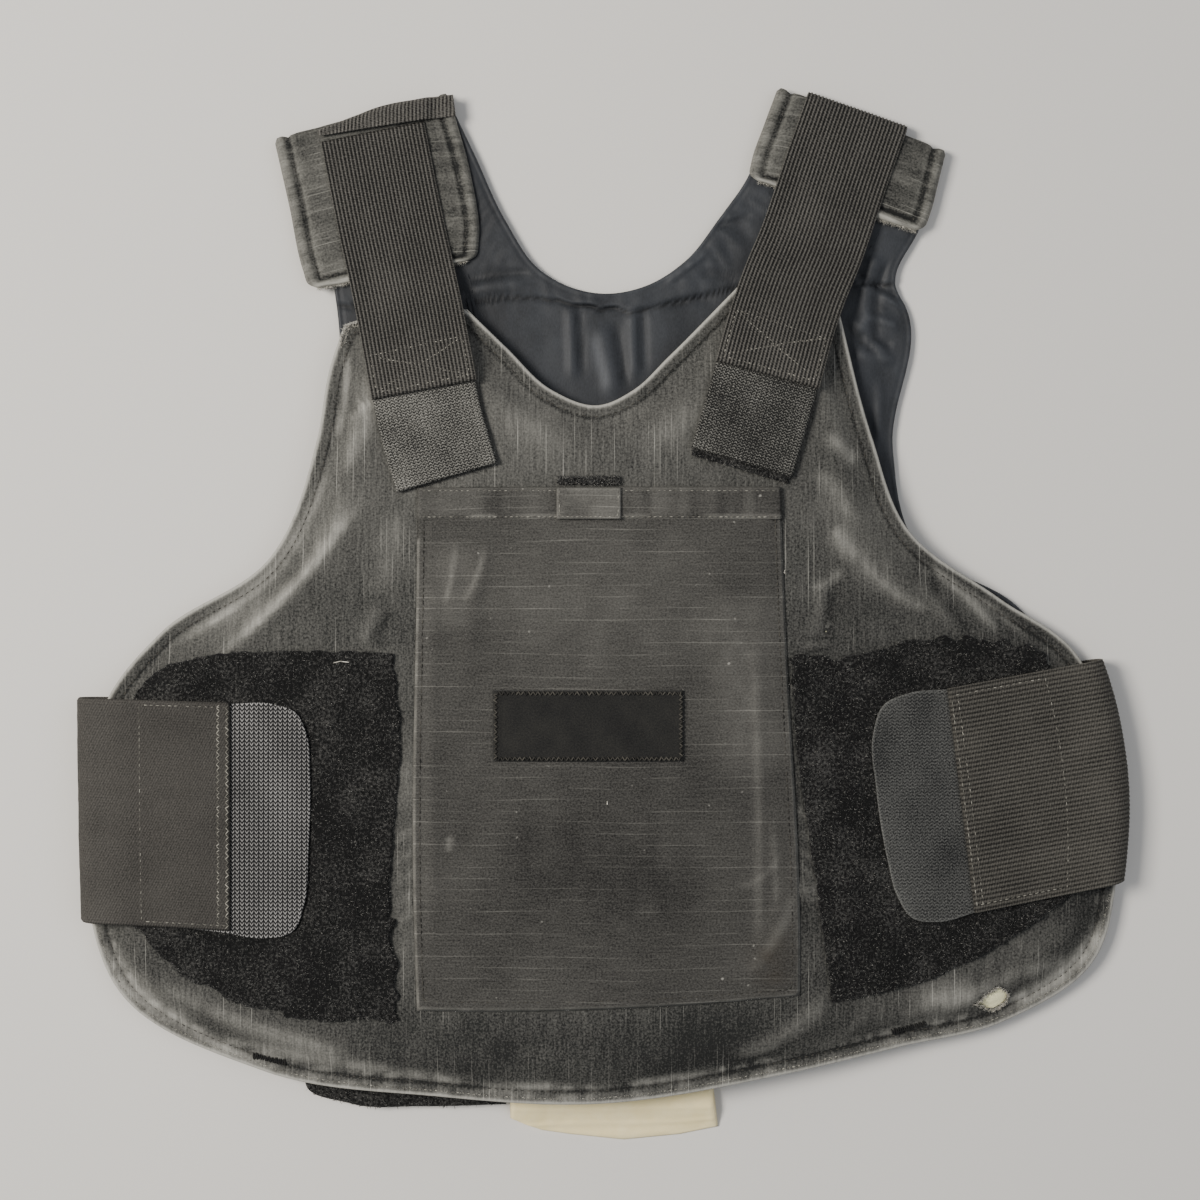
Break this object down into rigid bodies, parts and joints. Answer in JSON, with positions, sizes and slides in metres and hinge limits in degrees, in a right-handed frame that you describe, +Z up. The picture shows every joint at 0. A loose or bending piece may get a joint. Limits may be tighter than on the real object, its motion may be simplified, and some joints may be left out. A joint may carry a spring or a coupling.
{
  "type": "bulletproof vest",
  "caption": "Soft body-armour vest lying on its back panel: arched front panel with a chest pocket, loop-pile wings, and elastic shoulder and side straps with hook tabs.",
  "frame": {"origin": "middle of the footprint, on the surface that the vest lies on", "axes": "+X to the right of the vest as it lies face up, +Y towards the shoulders, +Z up from the surface through the front panel"},
  "size_m": [0.5045, 0.5085, 0.0309],
  "materials": {
    "faded_carrier_cloth": "worn plain-weave carrier cloth, faded charcoal",
    "pocket_ripstop": "ripstop cloth, dark brownish grey",
    "navy_lining": "smooth navy nylon lining",
    "elastic_webbing": "ribbed woven elastic, matte",
    "hook_tape": "woven back of hook tape",
    "loop_pile": "fuzzy black loop pile",
    "label_cloth": "cream printed-label cloth, left bare",
    "badge_cloth": "woven patch",
    "armour_pack": "cream cover of the armour pack"
  },
  "bodies": {
    "root": {"back_panel": "navy_lining", "front_carrier": "faded_carrier_cloth", "front_armour_pack": "armour_pack", "pocket": "pocket_ripstop", "pocket_hem": "pocket_ripstop", "pocket_tab": "pocket_ripstop", "pocket_fastener": "loop_pile", "badge": "badge_cloth", "loop_field_left": "loop_pile", "loop_field_right": "loop_pile", "side_strap_left": "elastic_webbing", "side_strap_right": "elastic_webbing", "side_tab_left": "hook_tape", "side_tab_right": "hook_tape", "shoulder_flap_left": "faded_carrier_cloth", "shoulder_flap_right": "faded_carrier_cloth", "shoulder_strap_left": "elastic_webbing", "shoulder_strap_right": "elastic_webbing", "shoulder_tab_left": "hook_tape", "shoulder_tab_right": "hook_tape", "shoulder_pile_left": "loop_pile", "shoulder_pile_right": "loop_pile", "closure_strip": "loop_pile", "care_label": "label_cloth"}
  },
  "joints": []
}
